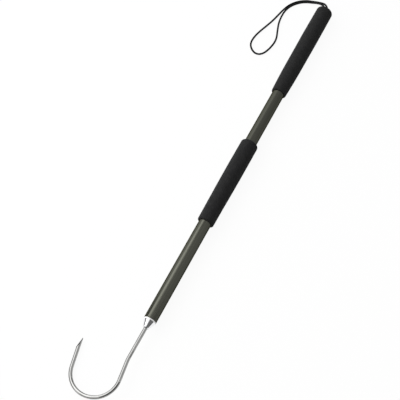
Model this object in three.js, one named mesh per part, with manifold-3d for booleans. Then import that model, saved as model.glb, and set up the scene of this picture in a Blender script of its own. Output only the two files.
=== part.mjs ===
// A hand gaff for landing fish: an anodised tube with two foam grips, a polished nose ferrule,
// a round-bend steel hook with a ground point, and a doubled lanyard cord through the butt.
// Millimetres. The pole is built along +X from its nose end at x = 0, with its axis at y = z = 0,
// and the last lines set the whole gaff down on the floor at z = 0.
import * as THREE from "three";
import { mergeVertices } from "three/addons/utils/BufferGeometryUtils.js";
import Module from "manifold-3d";

const wasm = await Module();
wasm.setup();

// Fits and facets
const touchGap = 0.3; // left between two pieces that touch
const cutOverrun = 1; // how far a cutter runs past what it cuts
const roundSides = 40;
const wireSides = 16;
const arcSteps = 5;

// Pole tube
const poleDiameter = 25;
const poleWall = 1.5;
const poleLength = 788;
const poleNoseBevelLength = 1.1; // the nose end's outer edge is turned off
const poleNoseBevelDepth = 0.7;
const poleRadius = poleDiameter / 2;
const poleBoreRadius = poleRadius - poleWall;

// Foam grips, with their radii along their length from nose to butt as shares of the fattest radius
const gripDiameter = 36;
const foreGripStart = 221;
const foreGripLength = 198;
const foreGripNoseRound = 2;
const foreGripButtRound = 4.5;
const foreGripShares = [[0, 0.922], [0.26, 0.956], [0.45, 0.983], [0.7, 1], [1, 0.994]];
const buttGripStart = 554;
const buttGripEndWall = 4.4;
const buttGripNoseRound = 2;
const buttGripButtRound = 6;
const buttGripShares = [[0, 0.872], [0.13, 0.928], [0.22, 0.958], [0.45, 0.982], [0.66, 1], [1, 0.98]];
const gripRadius = gripDiameter / 2;
const gripRings = 13;
const gripBoreRadius = poleRadius + touchGap;

// Nose ferrule
const collarLength = 2.3;
const collarEdge = 0.4;
const coneLength = 15.4;
const coneBaseDiameter = 24;
const coneTipDiameter = 11.6;
const coneTipEdge = 0.7;
const recessDiameter = 9.4;
const recessDepth = 1.8;
const spigotLength = 38;
const spigotChamfer = 1;

// Hook, bent from one wire in one plane
const wireDiameter = 7;
const neckStart = -84; // where the shank kinks away from the point side
const neckAngle = 7.8; // degrees
const neckBendRadius = 60;
const neckLength = 40.8;
const bendInnerRadius = 43.2; // the two radii of the round bend, to the middle of the wire
const bendOuterRadius = 49.2;
const bendInnerSweep = 79.6; // degrees of the first radius
const legLean = 12.7; // degrees, how far the point leg leans away from the shank
const legLength = 56.2;
const hookSteps = 66;
const wireRadius = wireDiameter / 2;

// Ground point: two facets that meet in a ridge outside, and a short one inside
const pointLength = 18;
const innerFacetLength = 6;
const facetSpread = 45; // degrees from the hook's plane to each outer facet
const tipInsetShare = 0.85; // of the wire's radius, from its middle towards the shank

// Threaded tail, washer, lock nut and cross pin that hold the hook in the ferrule
const tailDiameter = 6;
const tailBeyondNut = 2;
const tailChamfer = 0.8;
const washerDiameter = 18;
const washerThickness = 1.6;
const nutWidth = 10;
const nutHexHeight = 4.6;
const nutCollarHeight = 1.4;
const nutCollarDiameter = 8.8;
const nutChamferAngle = 30; // degrees
const pinDiameter = 2.5;
const pinPlace = 12; // from the pole's nose end
const pinInset = 0.5; // below the spigot's surface at each end
const pinSides = 12;
const tailRadius = tailDiameter / 2;
const pinRadius = pinDiameter / 2;

// Butt plug, cord hole and stop knot
const plugLength = 14;
const plugFlange = 2;
const plugRib = 0.25;
const plugRibs = 3;
const cordHoleDiameter = 9;
const gripHoleChamfer = 1;
const knotDiameter = 12;
const knotLength = 15;
const knotWaistShare = 0.7;
const cordHoleRadius = cordHoleDiameter / 2;

// Lanyard cord
const cordDiameter = 4;
const cordSides = 8;
const cordSteps = 72;
const strandOffset = 2.15; // each strand from the pole's axis in the hole
const cordRadius = cordDiameter / 2;

const radians = (degrees) => THREE.MathUtils.degToRad(degrees);

// Where the butt's pieces end
const plugFlangeEnd = poleLength + touchGap + plugFlange;
const buttGripInnerEnd = plugFlangeEnd + touchGap;
const buttEnd = buttGripInnerEnd + buttGripEndWall;
const plugInnerEnd = poleLength - plugLength;
const knotEnd = plugInnerEnd - touchGap;

// Where the nose's pieces end
const collarFront = -touchGap - collarLength;
const coneTip = collarFront - coneLength;
const hookBoreRadius = wireRadius + touchGap;
const washerStart = spigotLength + touchGap;
const nutStart = washerStart + washerThickness + touchGap;
const nutEnd = nutStart + nutHexHeight + nutCollarHeight;
const tailEnd = nutEnd + tailBeyondNut;

const finishes = {
  pole: { color: 0x595a50, roughness: 0.38, metalness: 0.85 },
  foam: { color: 0x262729, roughness: 0.93, metalness: 0 },
  polished: { color: 0xd9dadb, roughness: 0.14, metalness: 1 },
  steel: { color: 0xaeaeac, roughness: 0.2, metalness: 1 },
  plastic: { color: 0x1b1c1d, roughness: 0.6, metalness: 0 },
  cord: { color: 0x141415, roughness: 0.85, metalness: 0 },
};

function piece(name, geometry, finish) {
  const mesh = new THREE.Mesh(geometry, new THREE.MeshStandardMaterial(finishes[finish]));
  mesh.name = name;
  return mesh;
}

function toSolid(geometry) {
  const bare = geometry.clone();
  bare.deleteAttribute("normal");
  bare.deleteAttribute("uv");
  const merged = mergeVertices(bare.index ? bare : mergeVertices(bare));
  return new wasm.Manifold(new wasm.Mesh({
    numProp: 3,
    vertProperties: new Float32Array(merged.attributes.position.array),
    triVerts: new Uint32Array(merged.index.array),
  }));
}

function toGeometry(solid) {
  const mesh = solid.getMesh();
  const geometry = new THREE.BufferGeometry();
  geometry.setAttribute("position", new THREE.BufferAttribute(mesh.vertProperties, 3));
  geometry.setIndex(new THREE.BufferAttribute(mesh.triVerts, 1));
  geometry.computeVertexNormals();
  return geometry;
}

// Turns a closed outline of [x, radius] points about the pole's axis
function turned(outline, sides = roundSides) {
  const closed = outline[0][1] === 0 ? outline : [...outline, outline[0]];
  const points = closed.map(([x, radius]) => new THREE.Vector2(radius, x));
  return new THREE.LatheGeometry(points, sides).rotateZ(-Math.PI / 2);
}

// A plain rod along the pole's axis
function rod(start, end, radius, sides = roundSides) {
  return turned([[start, 0], [start, radius], [end, radius], [end, 0]], sides);
}

// A rod square to the hook's plane, for the cross pin and its holes
function crossRod(x, length, radius) {
  return new THREE.CylinderGeometry(radius, radius, length, pinSides).rotateX(Math.PI / 2).translate(x, 0, 0);
}

// Points of a quarter round from one [x, radius] corner leg to the other
function quarterRound(centreX, centreRadius, round, from) {
  const points = [];
  for (let i = 0; i <= arcSteps; i++) {
    const angle = radians(from - (90 * i) / arcSteps);
    points.push([centreX + round * Math.cos(angle), centreRadius + round * Math.sin(angle)]);
  }
  return points;
}

// The outer outline of a grip, from its nose end to its butt end, with rounded edges
function gripOutline(start, end, shares, noseRound, buttRound) {
  const curve = new THREE.SplineCurve(
    shares.map(([along, fat]) => new THREE.Vector2(start + along * (end - start), fat * gripRadius)),
  );
  const noseRadius = shares[0][1] * gripRadius;
  const buttRadius = shares[shares.length - 1][1] * gripRadius;
  const middle = curve.getSpacedPoints(gripRings).map((p) => [p.x, p.y]);
  return [
    ...quarterRound(start + noseRound, noseRadius - noseRound, noseRound, 180),
    ...middle.filter(([x]) => x > start + noseRound && x < end - buttRound),
    ...quarterRound(end - buttRound, buttRadius - buttRound, buttRound, 90),
  ];
}

function poleTube() {
  return piece("pole_tube", turned([
    [0, poleBoreRadius],
    [0, poleRadius - poleNoseBevelDepth],
    [poleNoseBevelLength, poleRadius],
    [poleLength, poleRadius],
    [poleLength, poleBoreRadius],
  ]), "pole");
}

function foreGrip() {
  const end = foreGripStart + foreGripLength;
  return piece("fore_grip", turned([
    [foreGripStart, gripBoreRadius],
    ...gripOutline(foreGripStart, end, foreGripShares, foreGripNoseRound, foreGripButtRound),
    [end, gripBoreRadius],
  ]), "foam");
}

// The butt grip is a closed sleeve, with a hole for the lanyard in its end wall
function buttGrip() {
  return piece("butt_grip", turned([
    [buttGripStart, gripBoreRadius],
    ...gripOutline(buttGripStart, buttEnd, buttGripShares, buttGripNoseRound, buttGripButtRound),
    [buttEnd, cordHoleRadius + gripHoleChamfer],
    [buttEnd - gripHoleChamfer, cordHoleRadius],
    [buttGripInnerEnd, cordHoleRadius],
    [buttGripInnerEnd, gripBoreRadius],
  ]), "foam");
}

// A plug with small barbs that presses into the tube's butt end and guides the cord
function buttPlug() {
  const radius = poleBoreRadius - touchGap - plugRib;
  const pitch = plugLength / (plugRibs + 1);
  const ribs = [];
  for (let i = 0; i < plugRibs; i++) {
    const start = plugInnerEnd + (i + 0.5) * pitch;
    ribs.push([start, radius], [start + pitch / 2, radius + plugRib], [start + pitch / 2, radius]);
  }
  return piece("butt_plug", turned([
    [plugInnerEnd, cordHoleRadius],
    [plugInnerEnd, radius],
    ...ribs,
    [poleLength + touchGap, radius],
    [poleLength + touchGap, poleRadius],
    [plugFlangeEnd, poleRadius],
    [plugFlangeEnd, cordHoleRadius],
  ]), "plastic");
}

function noseFerrule() {
  const spigotRadius = poleBoreRadius - touchGap;
  const body = toSolid(turned([
    [coneTip + recessDepth, hookBoreRadius],
    [coneTip, recessDiameter / 2],
    [coneTip, coneTipDiameter / 2 - coneTipEdge],
    [coneTip + coneTipEdge, coneTipDiameter / 2],
    [collarFront, coneBaseDiameter / 2],
    [collarFront, poleRadius - collarEdge],
    [collarFront + collarEdge, poleRadius],
    [-touchGap, poleRadius],
    [-touchGap, spigotRadius],
    [spigotLength - spigotChamfer, spigotRadius],
    [spigotLength, spigotRadius - spigotChamfer],
    [spigotLength, hookBoreRadius],
  ]));
  const pinHole = toSolid(crossRod(pinPlace, poleDiameter, pinRadius + touchGap));
  return piece("nose_ferrule", toGeometry(body.subtract(pinHole)), "polished");
}

class Arc extends THREE.Curve {
  constructor(centre, radius, start, sweep) {
    super();
    Object.assign(this, { centre, radius, start, sweep });
  }
  getPoint(t, target = new THREE.Vector3()) {
    const angle = this.start + this.sweep * t;
    return target.set(
      this.centre.x + this.radius * Math.cos(angle),
      this.centre.y + this.radius * Math.sin(angle),
      0,
    );
  }
}

// Lays straight and curved stretches of wire end to end; a positive turn is towards the point side
class WirePath extends THREE.CurvePath {
  constructor(start, heading) {
    super();
    this.end = start;
    this.heading = heading;
  }
  direction() {
    return new THREE.Vector3(Math.cos(this.heading), Math.sin(this.heading), 0);
  }
  straight(length) {
    const next = this.end.clone().addScaledVector(this.direction(), length);
    this.add(new THREE.LineCurve3(this.end, next));
    this.end = next;
    return this;
  }
  bend(radius, turn) {
    const side = this.direction().applyAxisAngle(new THREE.Vector3(0, 0, 1), -Math.sign(turn) * Math.PI / 2);
    const centre = this.end.clone().addScaledVector(side, radius);
    const start = Math.atan2(this.end.y - centre.y, this.end.x - centre.x);
    const arc = new Arc(centre, radius, start, -turn);
    this.add(arc);
    this.end = arc.getPoint(1);
    this.heading -= turn;
    return this;
  }
}

// The hook's wire in its own plane, with the point side towards +Y
function hookPath(beyondTip) {
  const neckTurn = radians(neckAngle);
  const neckTangent = neckBendRadius * Math.tan(neckTurn / 2);
  const innerTurn = radians(bendInnerSweep);
  const outerTurn = neckTurn + Math.PI - radians(legLean) - innerTurn;
  return new WirePath(new THREE.Vector3(spigotLength, 0, 0), Math.PI)
    .straight(spigotLength - neckStart - neckTangent)
    .bend(neckBendRadius, -neckTurn)
    .straight(neckLength - neckTangent)
    .bend(bendInnerRadius, innerTurn)
    .bend(bendOuterRadius, outerTurn)
    .straight(legLength + beyondTip);
}

function circle(radius, sides) {
  const points = [];
  for (let i = 0; i < sides; i++) {
    const angle = (2 * Math.PI * (i + 0.5)) / sides;
    points.push(new THREE.Vector2(radius * Math.cos(angle), radius * Math.sin(angle)));
  }
  return new THREE.Shape(points);
}

function sweep(path, radius, sides, steps) {
  return new THREE.ExtrudeGeometry(circle(radius, sides), { steps, bevelEnabled: false, extrudePath: path });
}

// The point's place and its three ground planes, in the hook's own plane
function groundPoint() {
  const leg = hookPath(0);
  const along = leg.direction();
  const outward = new THREE.Vector3(-along.y, along.x, 0);
  const across = new THREE.Vector3(0, 0, 1);
  const inset = tipInsetShare * wireRadius;
  const tip = leg.end.clone().addScaledVector(outward, -inset);
  const facet = (turn, slope) =>
    new THREE.Vector3()
      .addScaledVector(outward, Math.cos(turn))
      .addScaledVector(across, Math.sin(turn))
      .addScaledVector(along, slope)
      .normalize();
  const spread = radians(facetSpread);
  const outerSlope = ((wireRadius + inset) / pointLength) * Math.cos(spread);
  const innerSlope = (wireRadius - inset) / innerFacetLength;
  return {
    tip,
    facets: [facet(spread, outerSlope), facet(-spread, outerSlope), facet(Math.PI, innerSlope)],
  };
}

function gaffHook() {
  let hook = toSolid(sweep(hookPath(cutOverrun), wireRadius, wireSides, hookSteps));
  hook = hook.add(toSolid(turned([
    [spigotLength - cutOverrun, 0],
    [spigotLength - cutOverrun, tailRadius],
    [tailEnd - tailChamfer, tailRadius],
    [tailEnd, tailRadius - tailChamfer],
    [tailEnd, 0],
  ], wireSides)));
  const { tip, facets } = groundPoint();
  const cutterSize = 2 * (pointLength + wireDiameter);
  for (const normal of facets) {
    const cutter = new THREE.BoxGeometry(cutterSize, cutterSize, cutterSize).translate(0, 0, cutterSize / 2);
    cutter.applyQuaternion(new THREE.Quaternion().setFromUnitVectors(new THREE.Vector3(0, 0, 1), normal));
    hook = hook.subtract(toSolid(cutter.translate(tip.x, tip.y, tip.z)));
  }
  hook = hook.subtract(toSolid(crossRod(pinPlace, poleDiameter, pinRadius + touchGap)));
  return piece("gaff_hook", toGeometry(hook), "steel");
}

function hookWasher() {
  return piece("hook_washer", turned([
    [washerStart, tailRadius + touchGap],
    [washerStart, washerDiameter / 2],
    [washerStart + washerThickness, washerDiameter / 2],
    [washerStart + washerThickness, tailRadius + touchGap],
  ]), "steel");
}

// A hexagon nut with chamfered corners and the round collar that holds its locking ring
function hookLockNut() {
  const cornerRadius = nutWidth / 2 / Math.cos(Math.PI / 6);
  const hexEnd = nutStart + nutHexHeight;
  const hex = toSolid(rod(nutStart, hexEnd, cornerRadius, 6));
  const chamfer = (cornerRadius - nutWidth / 2) * Math.tan(radians(nutChamferAngle));
  const rounder = toSolid(turned([
    [nutStart, 0],
    [nutStart, nutWidth / 2],
    [nutStart + chamfer, cornerRadius],
    [hexEnd - chamfer, cornerRadius],
    [hexEnd, nutWidth / 2],
    [hexEnd, 0],
  ]));
  const collar = toSolid(rod(hexEnd - nutCollarHeight, nutEnd, nutCollarDiameter / 2));
  const bore = toSolid(rod(nutStart - cutOverrun, nutEnd + cutOverrun, tailRadius + touchGap));
  return piece("hook_lock_nut", toGeometry(hex.intersect(rounder).add(collar).subtract(bore)), "steel");
}

function hookCrossPin() {
  const length = 2 * (poleBoreRadius - touchGap - pinInset);
  return piece("hook_cross_pin", crossRod(pinPlace, length, pinRadius), "steel");
}

// The two ends of the cord tied in one double knot behind the plug
function lanyardKnot() {
  const radius = knotDiameter / 2;
  const start = knotEnd - knotLength;
  const lobe = knotLength / 4;
  const waist = radius * knotWaistShare;
  return piece("lanyard_knot", turned([
    [start, 0],
    [start, waist],
    [start + lobe, radius],
    [start + 2 * lobe, waist],
    [start + 3 * lobe, radius],
    [knotEnd, waist],
    [knotEnd, 0],
  ], wireSides), "cord");
}

// The cord's route: out of the butt, down to the floor, side by side to the hand loop, and back
function lanyardCord(floor) {
  const low = floor + cordRadius;
  const start = knotEnd + touchGap;
  const route = [
    [start, -strandOffset, 0], [buttEnd, -strandOffset, 0], [801.3, -1.7, -0.1], [807.5, 1.8, -0.8],
    [814, 9, -3.4], [817.3, 17.2, -7.3], [819, 25, -11], [819.7, 32.2, -14], [819.1, 39, -15.7],
    [815.7, 50.3, -15.9], [807.2, 64, low], [793.7, 76.1, low], [778.2, 83.5, low], [729.8, 95.1, low],
    [691, 107.3, low], [675.7, 110.6, low], [661, 111.1, low], [650.8, 108, low], [641.8, 100.4, low],
    [637, 91, low], [638, 82.8, low], [644, 76, low], [654, 71.2, low], [667.8, 67.8, low],
    [682, 66.4, low], [695.2, 68, low], [709.4, 72.7, low], [734, 80, low], [757, 82.2, low],
    [773, 80.5, low], [789.4, 73.8, low], [803.9, 61.2, low], [811.8, 48.3, -15.8], [815, 37, -14.7],
    [815, 28, -10.9], [812, 17.6, -5.2], [806.5, 8.6, -1.1], [800.6, 3.4, 0],
    [buttEnd, strandOffset, 0], [start, strandOffset, 0],
  ];
  const curve = new THREE.CatmullRomCurve3(route.map((p) => new THREE.Vector3(...p)), false, "centripetal");
  return piece("lanyard_cord", sweep(curve, cordRadius, cordSides, cordSteps), "cord");
}

// The grips lie on the floor, and the hook's plane is rolled until the point leg touches it too
const touchesAt = hookPath(-pointLength).end.y;
const roll = Math.asin((gripRadius - wireRadius) / touchesAt);
const nose = new THREE.Group();
nose.rotation.x = -roll;
nose.add(noseFerrule(), gaffHook(), hookWasher(), hookLockNut(), hookCrossPin());
const body = new THREE.Group();
body.add(poleTube(), foreGrip(), buttGrip(), buttPlug(), lanyardKnot(), nose);

// The origin is on the floor, at the middle of what the gaff covers without its free cord
body.updateMatrixWorld(true);
const box = new THREE.Box3().setFromObject(body, true);
const gaff = new THREE.Group();
gaff.add(body, lanyardCord(box.min.z));
gaff.position.set(-(box.min.x + box.max.x) / 2, -(box.min.y + box.max.y) / 2, -box.min.z);
gaff.updateMatrixWorld(true);

export default gaff;
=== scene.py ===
import bpy
import bmesh
import math
from mathutils import Matrix, Vector, noise

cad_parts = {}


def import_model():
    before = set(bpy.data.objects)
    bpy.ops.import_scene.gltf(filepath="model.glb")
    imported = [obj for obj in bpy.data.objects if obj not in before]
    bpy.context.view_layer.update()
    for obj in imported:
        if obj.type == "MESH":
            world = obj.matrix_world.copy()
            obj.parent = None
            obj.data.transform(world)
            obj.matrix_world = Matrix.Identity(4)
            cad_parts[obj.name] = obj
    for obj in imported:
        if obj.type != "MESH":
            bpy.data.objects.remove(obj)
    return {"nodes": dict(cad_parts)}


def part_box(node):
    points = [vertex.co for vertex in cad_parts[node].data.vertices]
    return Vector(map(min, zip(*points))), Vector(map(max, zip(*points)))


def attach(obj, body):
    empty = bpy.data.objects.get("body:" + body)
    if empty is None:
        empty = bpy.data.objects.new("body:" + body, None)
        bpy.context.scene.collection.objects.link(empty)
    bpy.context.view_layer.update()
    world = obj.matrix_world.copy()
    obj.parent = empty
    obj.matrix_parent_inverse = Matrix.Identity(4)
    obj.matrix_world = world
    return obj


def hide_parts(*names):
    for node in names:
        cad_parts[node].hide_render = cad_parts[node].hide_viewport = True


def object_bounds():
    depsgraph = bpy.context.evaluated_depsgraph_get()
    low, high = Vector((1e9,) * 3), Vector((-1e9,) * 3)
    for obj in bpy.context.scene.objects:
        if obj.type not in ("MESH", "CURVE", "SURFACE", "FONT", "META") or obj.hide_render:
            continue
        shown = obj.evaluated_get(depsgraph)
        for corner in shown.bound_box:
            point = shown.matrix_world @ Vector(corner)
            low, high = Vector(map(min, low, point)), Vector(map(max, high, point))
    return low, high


# A hand gaff on a white floor, in millimetres from the pole's nose end; at() makes them metres
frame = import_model()
cad_low, cad_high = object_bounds()
MM = 0.001

tube_low, tube_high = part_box("pole_tube")
NOSE_END = Vector((tube_low.x, (tube_low.y + tube_high.y) / 2, (tube_low.z + tube_high.z) / 2))
FLOOR = cad_low.z
AXIS_HEIGHT = (NOSE_END.z - FLOOR) / MM

POLE_LENGTH = (tube_high.x - tube_low.x) / MM
POLE_RADIUS = (tube_high.y - tube_low.y) / 2 / MM
POLE_WALL = 1.5
GAP = 0.3
BODY_SIDES = 128


def at(x, y=0.0, z=0.0):
    """A point in the frame from millimetres along, beside and above the pole's nose end."""
    return NOSE_END + Vector((x, y, z)) * MM


def box_along(node):
    """How far along the pole a node starts and ends, in millimetres."""
    low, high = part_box(node)
    return (low.x - NOSE_END.x) / MM, (high.x - NOSE_END.x) / MM


# Camera
def camera():
    heading = math.radians(26.89)  # from the pole's direction, towards the hook's point side
    elevation = math.radians(61.58)
    aim = at(260.5, 31.2)
    distance = 1.8817
    forward = Vector((
        math.cos(heading) * math.cos(elevation),
        math.sin(heading) * math.cos(elevation),
        -math.sin(elevation),
    ))
    data = bpy.data.cameras.new("camera")
    data.sensor_width = 36
    data.lens = 87.86
    data.clip_start, data.clip_end = 0.05, 50
    cam = bpy.data.objects.new("camera", data)
    bpy.context.collection.objects.link(cam)
    cam.location = aim - forward * distance
    cam.rotation_mode = "QUATERNION"
    cam.rotation_quaternion = forward.to_track_quat("-Z", "Y")
    bpy.context.scene.camera = cam


# Material helpers
def new_material(name, color, roughness, metallic=0.0):
    made = bpy.data.materials.new(name)
    made.use_nodes = True
    shader = made.node_tree.nodes["Principled BSDF"]
    shader.inputs["Base Color"].default_value = (*color, 1)
    shader.inputs["Roughness"].default_value = roughness
    shader.inputs["Metallic"].default_value = metallic
    return made, shader


def node(material, kind, links=None, **values):
    """A node of a kind, with its input values, its properties and its links from other sockets."""
    made = material.node_tree.nodes.new(kind)
    for key, value in values.items():
        if hasattr(made, key):
            setattr(made, key, value)
        else:
            made.inputs[key.replace("_", " ")].default_value = value
    for key, socket in (links or {}).items():
        material.node_tree.links.new(socket, made.inputs[key])
    return made


def join(material, socket, target):
    material.node_tree.links.new(socket, target)


def stretched(material, scale, coordinates="Object"):
    """Object or UV coordinates, scaled, for lines and grain that run one way."""
    source = node(material, "ShaderNodeTexCoord").outputs[coordinates]
    mapping = node(material, "ShaderNodeMapping", {"Vector": source})
    mapping.inputs["Scale"].default_value = scale
    return mapping.outputs["Vector"]


def noise_at(material, place, scale, detail=3.0, roughness=0.55):
    made = node(material, "ShaderNodeTexNoise", {"Vector": place}, Scale=scale, Detail=detail)
    made.inputs["Roughness"].default_value = roughness
    return made.outputs["Fac"]


def ranged(material, value, low, high, from_low=0.3, from_high=0.7):
    made = node(material, "ShaderNodeMapRange", {"Value": value})
    made.inputs["From Min"].default_value = from_low
    made.inputs["From Max"].default_value = from_high
    made.inputs["To Min"].default_value = low
    made.inputs["To Max"].default_value = high
    return made.outputs["Result"]


def object_place(material):
    return node(material, "ShaderNodeTexCoord").outputs["Object"]


MIX_FACTOR, MIX_FIRST, MIX_SECOND, MIX_RESULT = 0, 6, 7, 2  # the Mix node's sockets for colours


def blended(material, factor, first, second):
    """A mix of two colours, each of them three numbers or the socket of another node."""
    made = node(material, "ShaderNodeMix", data_type="RGBA")
    join(material, factor, made.inputs[MIX_FACTOR])
    for socket, color in ((MIX_FIRST, first), (MIX_SECOND, second)):
        if isinstance(color, bpy.types.NodeSocket):
            join(material, color, made.inputs[socket])
        else:
            made.inputs[socket].default_value = (*color, 1)
    return made.outputs[MIX_RESULT]


def bumped(material, shader, height, strength, distance, under=None):
    made = node(material, "ShaderNodeBump", {"Height": height}, Strength=strength, Distance=distance)
    if under is not None:
        join(material, under, made.inputs["Normal"])
    join(material, made.outputs["Normal"], shader.inputs["Normal"])
    return made.outputs["Normal"]


# Materials
def anodised_tube():
    """Satin anodising in gunmetal with an olive tint, with the faint lines of a drawn tube."""
    made, shader = new_material("anodised_tube", (0.112, 0.114, 0.095), 0.22, 1.0)
    shader.inputs["Specular Tint"].default_value = (0.25, 0.25, 0.22, 1)
    lines = noise_at(made, stretched(made, (1.5, 340, 340)), 1.0, 4.0)
    clouds = noise_at(made, stretched(made, (14, 30, 30)), 1.0, 2.0)
    tint = blended(made, ranged(made, lines, 0, 1), (0.094, 0.096, 0.077), (0.13, 0.132, 0.113))
    join(made, tint, shader.inputs["Base Color"])
    join(made, ranged(made, clouds, 0.17, 0.23), shader.inputs["Roughness"])
    bumped(made, shader, lines, 0.12, 0.0001)
    return made


def grip_foam():
    """Closed-cell foam: black, matt, slightly mottled, with painted shade inside its fine pores."""
    made, shader = new_material("grip_foam", (0.012, 0.012, 0.0122), 0.92)
    shader.inputs["Specular IOR Level"].default_value = 0.2
    shader.inputs["Sheen Weight"].default_value = 0.03
    shader.inputs["Sheen Roughness"].default_value = 0.5
    place = object_place(made)
    mottle = noise_at(made, place, 120, 3.0)
    grain = noise_at(made, place, 900, 4.0, 0.65)
    pores = node(made, "ShaderNodeTexVoronoi", {"Vector": place}, Scale=1100.0).outputs["Distance"]
    dark, light, pore_painted_shade = (0.0112, 0.0113, 0.0115), (0.0172, 0.0173, 0.0176), (0.005, 0.005, 0.0052)
    mottled = blended(made, ranged(made, mottle, 0, 1), dark, light)
    # Painted shade: the colour darkens towards the middle of each pore.
    tint = blended(made, ranged(made, pores, 0, 1, 0.08, 0.3), pore_painted_shade, mottled)
    join(made, tint, shader.inputs["Base Color"])
    join(made, ranged(made, grain, 0.86, 0.98), shader.inputs["Roughness"])
    coarse = bumped(made, shader, mottle, 0.25, 0.0004)
    fine = bumped(made, shader, grain, 0.5, 0.0002, coarse)
    bumped(made, shader, pores, 0.6, 0.0002, fine)
    return made


def polished_ferrule():
    """Turned and polished aluminium, with very fine lathe rings."""
    made, shader = new_material("polished_ferrule", (0.88, 0.88, 0.89), 0.12, 1.0)
    rings = noise_at(made, stretched(made, (5200, 6, 6)), 1.0, 3.0)
    smears = noise_at(made, stretched(made, (60, 90, 90)), 1.0, 3.0)
    join(made, ranged(made, smears, 0.06, 0.12), shader.inputs["Roughness"])
    bumped(made, shader, rings, 0.06, 0.00005)
    return made


def satin_collar():
    """The ferrule's collar, left satin from the lathe."""
    made, shader = new_material("satin_collar", (0.96, 0.96, 0.96), 0.45, 0.3)
    rings = noise_at(made, stretched(made, (6200, 6, 6)), 1.0, 3.0)
    join(made, ranged(made, rings, 0.38, 0.5), shader.inputs["Roughness"])
    bumped(made, shader, rings, 0.1, 0.00005)
    return made


def hook_steel():
    """Polished stainless wire, with faint polishing lines that run along it."""
    made, shader = new_material("hook_steel", (0.45, 0.45, 0.44), 0.1, 1.0)
    shader.inputs["Specular Tint"].default_value = (0.25, 0.25, 0.25, 1)
    lines = noise_at(made, stretched(made, (60, 2, 1), "UV"), 1.0, 4.0)
    smears = noise_at(made, object_place(made), 70, 3.0)
    join(made, ranged(made, smears, 0.05, 0.1), shader.inputs["Roughness"])
    tint = blended(made, ranged(made, smears, 0, 1), (0.42, 0.42, 0.411), (0.48, 0.48, 0.47))
    join(made, tint, shader.inputs["Base Color"])
    bumped(made, shader, lines, 0.1, 0.00008)
    return made


def ground_steel_painted_dark():
    """The point's ground facets: dull steel whose colour is darkened as a painted dark reflection, with
    fine scratches across the wire.
    """
    made, shader = new_material("ground_steel_painted_dark", (0.045, 0.045, 0.043), 0.3, 1.0)
    shader.inputs["Specular Tint"].default_value = (0.1, 0.1, 0.1, 1)
    scratches = noise_at(made, stretched(made, (3800, 260, 260)), 1.0, 4.0)
    join(made, ranged(made, scratches, 0.24, 0.36), shader.inputs["Roughness"])
    bumped(made, shader, scratches, 0.12, 0.00005)
    return made


def fastener_steel():
    """Plain steel of the hidden washer, nut and pin, unevenly worn."""
    made, shader = new_material("fastener_steel", (0.62, 0.62, 0.63), 0.3, 1.0)
    wear = noise_at(made, object_place(made), 500, 4.0)
    join(made, ranged(made, wear, 0.24, 0.42), shader.inputs["Roughness"])
    bumped(made, shader, wear, 0.1, 0.00005)
    return made


def plug_plastic():
    """Black moulded plastic with a fine grain."""
    made, shader = new_material("plug_plastic", (0.015, 0.015, 0.016), 0.55)
    grain = noise_at(made, object_place(made), 1400, 3.0)
    join(made, ranged(made, grain, 0.48, 0.62), shader.inputs["Roughness"])
    bumped(made, shader, grain, 0.15, 0.00005)
    return made


def cord_nylon():
    """Black braided nylon: yarn lines over the braid, and a soft sheen."""
    made, shader = new_material("lanyard_cord", (0.005, 0.005, 0.0053), 0.75)
    shader.inputs["Specular IOR Level"].default_value = 0.2
    shader.inputs["Sheen Weight"].default_value = 0.02
    shader.inputs["Sheen Roughness"].default_value = 0.5
    yarn = node(made, "ShaderNodeTexWave", {"Vector": stretched(made, (9, 900, 1), "UV")}, Scale=1.0)
    yarn.inputs["Distortion"].default_value = 1.5
    fuzz = noise_at(made, object_place(made), 2600, 3.0)
    tint = blended(made, ranged(made, fuzz, 0, 1), (0.003, 0.003, 0.0032), (0.007, 0.007, 0.0074))
    join(made, tint, shader.inputs["Base Color"])
    under = bumped(made, shader, yarn.outputs["Fac"], 0.3, 0.0001)
    bumped(made, shader, fuzz, 0.3, 0.00008, under)
    return made


MATERIALS = {
    "anodised_tube": anodised_tube(),
    "grip_foam": grip_foam(),
    "polished_ferrule": polished_ferrule(),
    "satin_collar": satin_collar(),
    "hook_steel": hook_steel(),
    "ground_steel_painted_dark": ground_steel_painted_dark(),
    "fastener_steel": fastener_steel(),
    "plug_plastic": plug_plastic(),
    "lanyard_cord": cord_nylon(),
}


# Mesh helpers
def finished(name, mesh_edit, slot, cad_node, sharp=35):
    """Turns a bmesh into a piece that stands for a CAD node and rides on the gaff."""
    bmesh.ops.recalc_face_normals(mesh_edit, faces=mesh_edit.faces)
    mesh = bpy.data.meshes.new(name)
    mesh_edit.to_mesh(mesh)
    mesh_edit.free()
    mesh.shade_smooth()
    mesh.set_sharp_from_angle(angle=math.radians(sharp))
    mesh.materials.append(MATERIALS[slot])
    made = bpy.data.objects.new(name, mesh)
    bpy.context.collection.objects.link(made)
    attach(made, "root")
    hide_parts(cad_node)
    return made


def turned(outline, unevenness=None):
    """A closed outline of (along, radius) millimetres, turned about the pole's axis."""
    mesh_edit = bmesh.new()
    rings = []
    for along, radius in outline:
        ring = []
        for i in range(BODY_SIDES):
            angle = 2 * math.pi * i / BODY_SIDES
            r = radius + (unevenness(along, radius, angle) if unevenness else 0)
            ring.append(mesh_edit.verts.new(at(along, r * math.cos(angle), r * math.sin(angle))))
        rings.append(ring)
    for first, second in zip(rings, rings[1:] + rings[:1]):
        for i in range(BODY_SIDES):
            j = (i + 1) % BODY_SIDES
            mesh_edit.faces.new((first[i], first[j], second[j], second[i]))
    return mesh_edit


ROUND_STEPS = 4
MOST_REACH = 0.49  # the share of a side that the round at one of its ends may take


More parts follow.
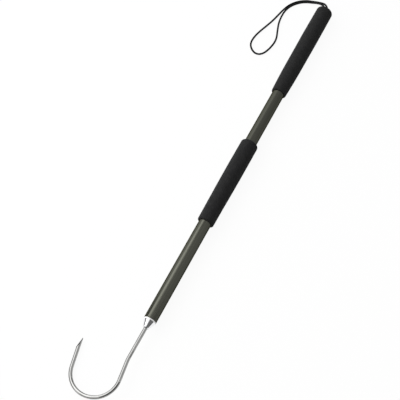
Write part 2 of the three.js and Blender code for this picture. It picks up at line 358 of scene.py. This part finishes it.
def rounded(corner, before, after, radius):
    """Points of a small round on a corner of an outline, tangent to both its sides."""
    corner, before, after = (Vector(p) for p in (corner, before, after))
    back, ahead = before - corner, after - corner
    half = back.angle(ahead) / 2
    reach = min(radius / math.tan(half), back.length * MOST_REACH, ahead.length * MOST_REACH)
    start, end = corner + back.normalized() * reach, corner + ahead.normalized() * reach
    points = []
    for i in range(ROUND_STEPS + 1):
        t = i / ROUND_STEPS
        points.append((1 - t) ** 2 * start + 2 * t * (1 - t) * corner + t ** 2 * end)
    return [tuple(p) for p in points]


CRISP, FINE, EASED = 0.1, 0.2, 0.3  # the usual corner rounds


def softened(outline, edge):
    """The outline with its corners rounded by edge, or by a third number where a point has one."""
    points = []
    count = len(outline)
    for i, point in enumerate(outline):
        size = point[2] if len(point) > 2 else edge
        before, after = outline[i - 1][:2], outline[(i + 1) % count][:2]
        points += rounded(point[:2], before, after, size) if size else [point[:2]]
    return points


def skinned(mesh_edit, uv, rings, lengths):
    """Closes rings of points into a tube, with the turn and the length in metres as UVs."""
    sides = len(rings[0])
    for k, (first, second) in enumerate(zip(rings, rings[1:])):
        for i in range(sides):
            j = (i + 1) % sides
            face = mesh_edit.faces.new((first[i], first[j], second[j], second[i]))
            turns = (i, i + 1, i + 1, i)
            runs = (lengths[k], lengths[k], lengths[k + 1], lengths[k + 1])
            for loop, turn, length in zip(face.loops, turns, runs):
                loop[uv].uv = (turn / sides, length)
    mesh_edit.faces.new(list(reversed(rings[0])))
    mesh_edit.faces.new(rings[-1])


# Pole
COLLAR_JOINT = -0.75  # where the tube's end and the ferrule's collar meet
JOINT_SLIT = 0.05
NOSE_BEVEL_LENGTH, NOSE_BEVEL_DEPTH = 0.41, 0.55
NOSE_BEVEL_ROUND = 0.15
BUTT_EDGE_ROUND = 0.25


def pole():
    bore = POLE_RADIUS - POLE_WALL
    nose = COLLAR_JOINT + JOINT_SLIT
    outline = softened([
        (nose, bore),
        (nose, POLE_RADIUS - NOSE_BEVEL_DEPTH, CRISP),
        (nose + NOSE_BEVEL_LENGTH, POLE_RADIUS, NOSE_BEVEL_ROUND),
        (POLE_LENGTH, POLE_RADIUS, BUTT_EDGE_ROUND),
        (POLE_LENGTH, bore),
    ], FINE)
    finished("pole", turned(outline), "anodised_tube", "pole_tube")


# Grips
GRIP_RADIUS = 18.0
FORE_SHARES = [(0, 0.922), (0.26, 0.956), (0.45, 0.983), (0.7, 1), (1, 0.994)]
BUTT_SHARES = [(0, 0.872), (0.13, 0.928), (0.22, 0.958), (0.45, 0.982), (0.66, 1), (1, 0.98)]
FORE_ROUNDS = (2, 4.5)  # at the sleeve's nose end and at its butt end
BUTT_ROUNDS = (2, 6)
NOSE_ROUND_STEPS, BUTT_ROUND_STEPS = 8, 12
GRIP_STEP = 1.6
BUTT_WALL = 4.4
HOLE_RADIUS = 4.5
HOLE_MOUTH = [(0, 1.2), (0.3, 0.45), (1.1, 0)]  # depth from the butt end, and how much wider it is
SWELL_HEIGHT, SWELL_SIZE = 0.1, 24
GRAIN_HEIGHT, GRAIN_SIZE = 0.05, 5
FOAM_SHRINK = 0.09
EVEN_REACH = 1.5  # how far out from the tube the foam is even


def smooth_share(shares, along):
    """A smooth curve through the shares, at a share of the length."""
    points = [shares[0], *shares, shares[-1]]
    for (x0, y0), (x1, y1), (x2, y2), (x3, y3) in zip(points, points[1:], points[2:], points[3:]):
        if x1 <= along <= x2 and x2 > x1:
            t = (along - x1) / (x2 - x1)
            m1 = (y2 - y0) / (x2 - x0) * (x2 - x1)
            m2 = (y3 - y1) / (x3 - x1) * (x2 - x1)
            h = t * t * (3 - 2 * t)
            return y1 + (y2 - y1) * h + m1 * t * (1 - t) ** 2 - m2 * t * t * (1 - t)
    return shares[-1][1]


def quarter_round(centre, size, start_angle, steps):
    """Points of a quarter circle about a centre (along, radius), towards the butt."""
    points = []
    for i in range(steps + 1):
        angle = start_angle - math.pi / 2 * i / steps
        points.append((centre[0] + size * math.cos(angle), centre[1] + size * math.sin(angle)))
    return points


def grip_outline(start, end, shares, nose_round, butt_round):
    """The outside of a sleeve: a rounded nose, the smooth curve of its shares and a rounded butt."""
    nose_centre = (start + nose_round, shares[0][1] * GRIP_RADIUS - nose_round)
    butt_centre = (end - butt_round, shares[-1][1] * GRIP_RADIUS - butt_round)
    points = quarter_round(nose_centre, nose_round, math.pi, NOSE_ROUND_STEPS)
    count = int((end - start) / GRIP_STEP)
    for i in range(1, count):
        along = start + (end - start) * i / count
        if start + nose_round < along < end - butt_round:
            points.append((along, smooth_share(shares, i / count) * GRIP_RADIUS))
    points += quarter_round(butt_centre, butt_round, math.pi / 2, BUTT_ROUND_STEPS)
    return points


def foam_unevenness(along, radius, angle):
    """Cut foam is never quite round: slow swells and a little grain, none of it on the bore."""
    if radius < POLE_RADIUS + EVEN_REACH:
        return 0
    place = Vector((along, radius * math.cos(angle), radius * math.sin(angle)))
    swell = SWELL_HEIGHT * noise.noise(place / SWELL_SIZE)
    grain = GRAIN_HEIGHT * noise.noise(place / GRAIN_SIZE)
    return swell + grain - FOAM_SHRINK


def fore_grip():
    start, end = box_along("fore_grip")
    bore = POLE_RADIUS + GAP / 2
    outline = [(start, bore), *grip_outline(start, end, FORE_SHARES, *FORE_ROUNDS), (end, bore)]
    made = finished("fore_grip_foam", turned(outline, foam_unevenness), "grip_foam", "fore_grip")


def butt_grip():
    start, end = box_along("butt_grip")
    bore = POLE_RADIUS + GAP / 2
    outline = [
        (start, bore),
        *grip_outline(start, end, BUTT_SHARES, *BUTT_ROUNDS),
        *((end - depth, HOLE_RADIUS + wider) for depth, wider in HOLE_MOUTH),
        (end - BUTT_WALL, HOLE_RADIUS),
        (end - BUTT_WALL, bore),
    ]
    made = finished("butt_grip_foam", turned(outline, foam_unevenness), "grip_foam", "butt_grip")


# Nose ferrule
WIRE_RADIUS = 3.5
COLLAR_LENGTH = 2.3
COLLAR_BEVEL = 0.4
COLLAR_BACK_BEVEL = 0.2
COLLAR_FACE_RADIUS = 12.0
CONE_STEP = 0.1
CONE_BASE_RADIUS = 11.9
SATIN_OVERLAP = 0.4  # how far the collar's finish reaches over the cone
SATIN_START_RADIUS = 11.71
SATIN_DEPTH = 0.9
CHAMFER_LENGTH = 1.2
CHAMFER_RADIUS = 6.27
CHAMFER_ROUND = 1.0
TIP_RADIUS = 5.1
RECESS_MOUTH = 4.9
RECESS_RADIUS = 4.6
RECESS_LIP = 0.2
RECESS_DEPTH = 1.8
SPIGOT_ROUND = 0.8


def ferrule():
    tip, spigot_end = box_along("nose_ferrule")
    bore = WIRE_RADIUS + GAP
    spigot = POLE_RADIUS - POLE_WALL - GAP
    collar_front = -GAP - COLLAR_LENGTH
    satin_start = collar_front - SATIN_OVERLAP
    outline = softened([
        (tip + RECESS_DEPTH, bore, CRISP),
        (tip + RECESS_LIP, RECESS_RADIUS, EASED),
        (tip, RECESS_MOUTH),
        (tip, TIP_RADIUS),
        (tip + CHAMFER_LENGTH, CHAMFER_RADIUS, CHAMFER_ROUND),
        (satin_start, SATIN_START_RADIUS, 0),
        (collar_front + CONE_STEP, CONE_BASE_RADIUS, EASED),
        (collar_front, COLLAR_FACE_RADIUS, CRISP),
        (collar_front + COLLAR_BEVEL, POLE_RADIUS, EASED),
        (COLLAR_JOINT - COLLAR_BACK_BEVEL, POLE_RADIUS, CRISP),
        (COLLAR_JOINT, POLE_RADIUS - COLLAR_BACK_BEVEL, CRISP),
        (COLLAR_JOINT, spigot, CRISP),
        (spigot_end, spigot, SPIGOT_ROUND),
        (spigot_end, bore),
    ], FINE)
    made = finished("ferrule", turned(outline), "polished_ferrule", "nose_ferrule", sharp=28)
    made.data.materials.append(MATERIALS["satin_collar"])
    for face in made.data.polygons:
        reach = (face.center - NOSE_END).yz.length / MM
        if at(satin_start).x < face.center.x < NOSE_END.x and reach > POLE_RADIUS - SATIN_DEPTH:
            face.material_index = 1


# Hook
NECK_START = -84.0
NECK_ANGLE = math.radians(7.8)
NECK_BEND_RADIUS = 60.0
NECK_LENGTH = 40.8
BEND_RADII = (43.2, 49.2)
BEND_INNER_SWEEP = math.radians(79.6)
LEG_LEAN = math.radians(12.7)
LEG_LENGTH = 56.2
POINT_LENGTH = 18.0
INNER_FACET_LENGTH = 6.0
FACET_SPREAD = math.radians(45)
TIP_INSET = 0.85 * WIRE_RADIUS
WIRE_SIDES = 48
STRAIGHT_STEP = 3.0
LEG_STEP = 1.5
BEND_STEP = math.radians(2)
SPIGOT_LENGTH = 38.0
OVERRUN = 1  # how far the wire runs on before its point is ground
CUT_TOLERANCE = 1e-7


def hook_line(beyond):
    """Points along the wire in the hook's plane, each with its heading; beyond lengthens the leg."""
    heading = math.pi
    place = Vector((SPIGOT_LENGTH, 0))
    points = [(place.copy(), heading)]

    def straight(length, step=STRAIGHT_STEP):
        nonlocal place
        count = max(1, round(length / step))
        direction = Vector((math.cos(heading), math.sin(heading)))
        for _ in range(count):
            place = place + direction * (length / count)
            points.append((place.copy(), heading))

    def bend(radius, turn):
        nonlocal place, heading
        count = max(2, round(abs(turn) / BEND_STEP))
        for _ in range(count):
            part = turn / count
            chord = 2 * radius * math.sin(abs(part) / 2)
            direction = heading - part / 2
            place = place + Vector((math.cos(direction), math.sin(direction))) * chord
            heading -= part
            points.append((place.copy(), heading))

    tangent = NECK_BEND_RADIUS * math.tan(NECK_ANGLE / 2)
    straight(SPIGOT_LENGTH - NECK_START - tangent)
    bend(NECK_BEND_RADIUS, -NECK_ANGLE)
    straight(NECK_LENGTH - tangent)
    bend(BEND_RADII[0], BEND_INNER_SWEEP)
    bend(BEND_RADII[1], NECK_ANGLE + math.pi - LEG_LEAN - BEND_INNER_SWEEP)
    straight(LEG_LENGTH + beyond, LEG_STEP)
    return points


def hook_roll():
    """How far the hook's plane is rolled so that the point leg lies on the floor, as the grips do."""
    touches_at = hook_line(-POINT_LENGTH)[-1][0].y
    return math.asin((GRIP_RADIUS - WIRE_RADIUS) / touches_at)


ROLL = hook_roll()


def in_hook_plane(along, beside, above=0.0):
    """A point in the frame from millimetres in the hook's own plane."""
    return at(
        along,
        beside * math.cos(ROLL) + above * math.sin(ROLL),
        -beside * math.sin(ROLL) + above * math.cos(ROLL),
    )


def wire_mesh(line):
    """A round wire along a line in the hook's plane."""
    mesh_edit = bmesh.new()
    uv = mesh_edit.loops.layers.uv.new("wire")
    rings, lengths, run = [], [], 0.0
    for k, (place, heading) in enumerate(line):
        if k:
            run += (place - line[k - 1][0]).length
        lengths.append(run * MM)
        side = Vector((-math.sin(heading), math.cos(heading)))
        ring = []
        for i in range(WIRE_SIDES):
            angle = 2 * math.pi * i / WIRE_SIDES
            p = place + side * (WIRE_RADIUS * math.cos(angle))
            ring.append(mesh_edit.verts.new(in_hook_plane(p.x, p.y, WIRE_RADIUS * math.sin(angle))))
        rings.append(ring)
    skinned(mesh_edit, uv, rings, lengths)
    return mesh_edit


def ground_facets():
    """The tip and the outward direction of each of the point's three ground facets."""
    end, heading = hook_line(0)[-1]
    along = Vector((math.cos(heading), math.sin(heading)))
    outward = Vector((-along.y, along.x))
    tip = end - outward * TIP_INSET
    spread_slope = (WIRE_RADIUS + TIP_INSET) / POINT_LENGTH * math.cos(FACET_SPREAD)
    inner_slope = (WIRE_RADIUS - TIP_INSET) / INNER_FACET_LENGTH
    origin = in_hook_plane(0, 0)
    outer = [(FACET_SPREAD, spread_slope), (-FACET_SPREAD, spread_slope)]
    facets = []
    for turn, slope in [*outer, (math.pi, inner_slope)]:
        flat = outward * math.cos(turn) + along * slope
        facets.append((in_hook_plane(flat.x, flat.y, math.sin(turn)) - origin).normalized())
    return in_hook_plane(tip.x, tip.y), facets


def grind(mesh_edit, tip, normal):
    """Cuts the wire's end along a plane through the tip and closes the cut with one flat face."""
    reach = (POINT_LENGTH + 2 * WIRE_RADIUS) * MM
    verts = [v for v in mesh_edit.verts if (v.co - tip).length < reach]
    near = set(verts)
    edges = [e for e in mesh_edit.edges if near.issuperset(e.verts)]
    faces = [f for f in mesh_edit.faces if near.issuperset(f.verts)]
    cut = bmesh.ops.bisect_plane(
        mesh_edit,
        geom=[*verts, *edges, *faces],
        dist=CUT_TOLERANCE,
        plane_co=tip,
        plane_no=normal,
        clear_outer=True,
    )
    rim = [e for e in cut["geom_cut"] if isinstance(e, bmesh.types.BMEdge)]
    made = bmesh.ops.contextual_create(mesh_edit, geom=rim)
    for face in made["faces"]:
        face.material_index = 1


def hook():
    mesh_edit = wire_mesh(hook_line(OVERRUN))
    tip, facets = ground_facets()
    for normal in facets:
        grind(mesh_edit, tip, normal)
    made = finished("hook", mesh_edit, "hook_steel", "gaff_hook", sharp=12)
    # The cut faces take the ground steel, whose colour holds a painted dark reflection.
    made.data.materials.append(MATERIALS["ground_steel_painted_dark"])


# Lanyard cord
CORD_RADIUS = 2.0
STRAND_OFFSET = 2.15
CORD_END, CORD_EXIT = 774, 795  # where both strands end in the knot, and where they leave the butt
LOW = CORD_RADIUS - AXIS_HEIGHT  # where the cord's middle is when it lies on the floor
CORD_SIDES = 32
CORD_STEP = 0.4
BRAID_BUMPS = 4
BRAID_PITCH = 5.2
BRAID_HEIGHT = 0.09
BRAID_LEVEL = 0.35  # the relief, from -1 to 1, at which the cord has its own radius
CORD_ROUTE = [
    (CORD_END, -STRAND_OFFSET, 0), (CORD_EXIT, -STRAND_OFFSET, 0),
    (801.3, -1.7, -0.1), (807.5, 1.8, -0.8),
    (814, 9, -3.4), (817.3, 17.2, -7.3), (819, 25, -11), (819.7, 32.2, -14), (819.1, 39, -15.7),
    (815.7, 50.3, -15.9), (807.2, 64, LOW), (793.7, 76.1, LOW), (778.2, 83.5, LOW), (729.8, 95.1, LOW),
    (691, 107.3, LOW), (675.7, 110.6, LOW), (661, 111.1, LOW), (650.8, 108, LOW), (641.8, 100.4, LOW),
    (637, 91, LOW), (638, 82.8, LOW), (644, 76, LOW), (654, 71.2, LOW), (667.8, 67.8, LOW),
    (682, 66.4, LOW), (695.2, 68, LOW), (709.4, 72.7, LOW), (734, 80, LOW), (757, 82.2, LOW),
    (773, 80.5, LOW), (789.4, 73.8, LOW), (803.9, 61.2, LOW), (811.8, 48.3, -15.8), (815, 37, -14.7),
    (815, 28, -10.9), (812, 17.6, -5.2), (806.5, 8.6, -1.1), (800.6, 3.4, 0),
    (CORD_EXIT, STRAND_OFFSET, 0), (CORD_END, STRAND_OFFSET, 0),
]


def centripetal(points, step):
    """A smooth line through the points, sampled about every step."""
    first, last = points[0] * 2 - points[1], points[-1] * 2 - points[-2]
    padded = [first, *points, last]
    line = []
    for p0, p1, p2, p3 in zip(padded, padded[1:], padded[2:], padded[3:]):
        d0, d1, d2 = ((b - a).length ** 0.5 for a, b in ((p0, p1), (p1, p2), (p2, p3)))
        m1 = (p1 - p0) / d0 - (p2 - p0) / (d0 + d1) + (p2 - p1) / d1
        m2 = (p2 - p1) / d1 - (p3 - p1) / (d1 + d2) + (p3 - p2) / d2
        m1, m2 = m1 * d1, m2 * d1
        count = max(2, round((p2 - p1).length / step))
        for i in range(count):
            t = i / count
            line.append(
                p1 * (2 * t ** 3 - 3 * t ** 2 + 1) + m1 * (t ** 3 - 2 * t ** 2 + t)
                + p2 * (3 * t ** 2 - 2 * t ** 3) + m2 * (t ** 3 - t ** 2)
            )
    line.append(points[-1])
    return line


def braided(line):
    """The cord along a line of points in the frame, with the raised strands of a round braid."""
    mesh_edit = bmesh.new()
    uv = mesh_edit.loops.layers.uv.new("cord")
    chords = [(b - a).normalized() for a, b in zip(line, line[1:])]
    tangents = [chords[0], *((a + b).normalized() for a, b in zip(chords, chords[1:])), chords[-1]]
    side = tangents[0].orthogonal().normalized()
    run, lengths, rings = 0.0, [], []
    for k, (place, tangent) in enumerate(zip(line, tangents)):
        if k:
            side = tangents[k - 1].rotation_difference(tangent) @ side
            side = (side - tangent * side.dot(tangent)).normalized()
            run += (place - line[k - 1]).length
        lengths.append(run)
        other = tangent.cross(side)
        lay = 2 * math.pi * run / (BRAID_PITCH * MM)
        ring = []
        for i in range(CORD_SIDES):
            angle = 2 * math.pi * i / CORD_SIDES
            relief = math.cos(BRAID_BUMPS * angle + lay) * math.cos(BRAID_BUMPS * angle - lay)
            r = (CORD_RADIUS + BRAID_HEIGHT * (relief - BRAID_LEVEL)) * MM
            outward = side * math.cos(angle) + other * math.sin(angle)
            ring.append(mesh_edit.verts.new(place + outward * r))
        rings.append(ring)
    skinned(mesh_edit, uv, rings, lengths)
    return mesh_edit, run


def lanyard():
    points = [at(*p) for p in CORD_ROUTE]
    line = centripetal(points, CORD_STEP * MM)
    mesh_edit, length = braided(line)
    made = finished("lanyard", mesh_edit, "lanyard_cord", "lanyard_cord", sharp=60)


# Hidden fixings keep their CAD shapes and get their finishes
def hidden_fixings():
    finishes = {
        "butt_plug": "plug_plastic",
        "lanyard_knot": "lanyard_cord",
        "hook_washer": "fastener_steel",
        "hook_lock_nut": "fastener_steel",
        "hook_cross_pin": "fastener_steel",
    }
    for name, slot in finishes.items():
        carried = frame["nodes"][name]
        carried.data.materials.clear()
        carried.data.materials.append(MATERIALS[slot])


# Floor, lamps, cards and world
SHADOW_SHARE = 0.06
FLOOR_REACH = 30
FLOOR_DROP = 0.0003


def background_rays(tree):
    """1 for the rays that show the background: the camera's, and those off metal or through glass."""
    path = tree.nodes.new("ShaderNodeLightPath")
    seen = path.outputs["Is Camera Ray"]
    for other in ("Is Glossy Ray", "Is Transmission Ray"):
        either = tree.nodes.new("ShaderNodeMath")
        either.operation = "MAXIMUM"
        tree.links.new(seen, either.inputs[0])
        tree.links.new(path.outputs[other], either.inputs[1])
        seen = either.outputs[0]
    return seen


def mixed(tree, lit, seen, target):
    """Shows the second shader as the background and lets the first one light the scene."""
    mix = tree.nodes.new("ShaderNodeMixShader")
    tree.links.new(background_rays(tree), mix.inputs[0])
    tree.links.new(lit, mix.inputs[1])
    tree.links.new(seen, mix.inputs[2])
    tree.links.new(mix.outputs[0], target)


def staged(name, corners, material):
    """A flat sheet with four corners, for the surroundings only."""
    mesh = bpy.data.meshes.new(name)
    mesh.from_pydata([tuple(p) for p in corners], [], [(0, 1, 2, 3)])
    mesh.materials.append(material)
    made = bpy.data.objects.new(name, mesh)
    bpy.context.collection.objects.link(made)
    return made


def floor():
    """Diffuse white for the light it throws back, and seen as white with a faint shadow."""
    material, shader = new_material("floor_white", (0.8, 0.8, 0.8), 0.9)
    shader.inputs["Specular IOR Level"].default_value = 0.1
    tree = material.node_tree
    glow = tree.nodes.new("ShaderNodeEmission")
    glow.inputs["Strength"].default_value = 1.0
    lit = tree.nodes.new("ShaderNodeBsdfDiffuse")
    lit.inputs["Color"].default_value = (0.9, 0.9, 0.9, 1)
    both = tree.nodes.new("ShaderNodeMixShader")
    both.inputs[0].default_value = SHADOW_SHARE
    tree.links.new(glow.outputs[0], both.inputs[1])
    tree.links.new(lit.outputs[0], both.inputs[2])
    mixed(tree, shader.outputs[0], both.outputs[0], tree.nodes["Material Output"].inputs["Surface"])
    signs = ((-1, -1), (1, -1), (1, 1), (-1, 1))
    corners = [(x * FLOOR_REACH, y * FLOOR_REACH, FLOOR - FLOOR_DROP) for x, y in signs]
    staged("floor", corners, material)


def lamp(name, target, offset, size, power):
    """An area lamp at an offset in metres from the point it lights, its long side along the pole."""
    data = bpy.data.lights.new(name, "AREA")
    data.shape = "RECTANGLE"
    data.size, data.size_y = size
    data.energy = power
    made = bpy.data.objects.new(name, data)
    made.location = target + Vector(offset)
    away = Vector(offset).normalized()
    along = Vector((1, 0, 0))
    along = (along - away * along.dot(away)).normalized()
    made.rotation_mode = "QUATERNION"
    made.rotation_quaternion = Matrix((along, away.cross(along), away)).transposed().to_quaternion()
    bpy.context.collection.objects.link(made)
    return made


def lamps():
    """The key lamp, high on the gaff's left, and a soft one there that only lights matt surfaces."""
    lamp("key", at(70), offset=(0, 0.80, 1.02), size=(1.52, 0.7), power=4.0)
    soft = lamp("soft", at(230), offset=(0, 1.15, 0.8), size=(1.6, 0.8), power=6.4)
    soft.visible_glossy = False


def card(name, grey, *corners):
    """A sheet that glows grey and is seen only in polished surfaces, as a painted reflection; its
    corners are in millimetres.
    """
    material, shader = new_material(name, (0, 0, 0), 1.0)
    shader.inputs["Specular IOR Level"].default_value = 0
    shader.inputs["Emission Color"].default_value = (grey, grey, grey, 1)
    shader.inputs["Emission Strength"].default_value = 1.0
    made = staged(name, [at(*p) for p in corners], material)
    made.visible_camera = False
    made.visible_diffuse = False
    made.visible_shadow = False


def lengthwise_card(name, grey, start, end, foot, top):
    """A card along the pole; its foot and its top are given as (beside, above)."""
    card(name, grey, (start, *foot), (end, *foot), (end, *top), (start, *top))


def crosswise_card(name, grey, along, right, left, foot, top):
    """A card across the pole's direction, from its right to its left end and from foot to top."""
    card(name, grey, (along, right, foot), (along, left, foot), (along, left, top), (along, right, top))


# The dim side of the room in section, as (beside, above), and how far along each half of it runs
ROOM_FOOT, ROOM_KNEE, ROOM_TOP = (-960, 0), (-553, 708), (190, 2000)
NOSE_HALF, BUTT_HALF = (200, 840), (840, 2400)
GROUND = 1 - AXIS_HEIGHT  # a millimetre above the floor


def cards():
    """Glowing sheets that paint the reflections of the dim parts of the room: right of the gaff, over
    its butt, low on its left, past both ends.
    """
    lengthwise_card("card_right", 0.52, *NOSE_HALF, ROOM_FOOT, ROOM_KNEE)
    lengthwise_card("card_right_butt", 0.41, *BUTT_HALF, ROOM_FOOT, ROOM_KNEE)
    lengthwise_card("card_over", 0.56, *NOSE_HALF, ROOM_KNEE, ROOM_TOP)
    lengthwise_card("card_over_butt", 0.43, *BUTT_HALF, ROOM_KNEE, ROOM_TOP)
    lengthwise_card("card_streak", 0.72, *NOSE_HALF, (-530, 730), (-390, 970))
    lengthwise_card("card_top", 0.55, 950, 2600, ROOM_TOP, (1063, 2000))
    lengthwise_card("card_low", 0.5, 0, 1600, (-15, GROUND + 1), (-965, GROUND + 1))
    lengthwise_card("card_front_right", 0.14, -1600, 200, (-975, -16), (-125, 2000))
    lengthwise_card("card_left", 0.08, -1000, 330, (1040, GROUND), (1040, 440))
    crosswise_card("card_front", 0.12, along=-700, right=-500, left=400, foot=GROUND, top=290)
    crosswise_card("card_far", 0.1, along=1700, right=-1200, left=1100, foot=GROUND, top=1000)


BRIGHT_SIDE = (0.05, 0.95, 0.3)
DIMMEST, BRIGHTEST = (0.3, 0.3, 0.3, 1), (1.6, 1.6, 1.6, 1)
BRIGHT_FROM = 0.8


def world():
    """Soft light that is brighter from the gaff's left, with a white background."""
    made = bpy.data.worlds.new("studio")
    bpy.context.scene.world = made
    made.use_nodes = True
    tree = made.node_tree
    shade = tree.nodes["Background"]
    place = tree.nodes.new("ShaderNodeTexCoord")
    lean = tree.nodes.new("ShaderNodeVectorMath")
    lean.operation = "DOT_PRODUCT"
    lean.inputs[1].default_value = BRIGHT_SIDE
    tree.links.new(place.outputs["Generated"], lean.inputs[0])
    ramp = tree.nodes.new("ShaderNodeValToRGB")
    dim, bright = ramp.color_ramp.elements
    dim.color = DIMMEST
    bright.position = BRIGHT_FROM
    bright.color = BRIGHTEST
    tree.links.new(lean.outputs["Value"], ramp.inputs["Fac"])
    tree.links.new(ramp.outputs["Color"], shade.inputs["Color"])
    seen = tree.nodes.new("ShaderNodeBackground")
    seen.inputs["Color"].default_value = (1, 1, 1, 1)
    mixed(tree, shade.outputs[0], seen.outputs[0], tree.nodes["World Output"].inputs["Surface"])


bpy.context.scene.view_settings.view_transform = "Standard"
camera()
lanyard()
pole()
fore_grip()
butt_grip()
ferrule()
hook()
hidden_fixings()
floor()
lamps()
cards()
world()
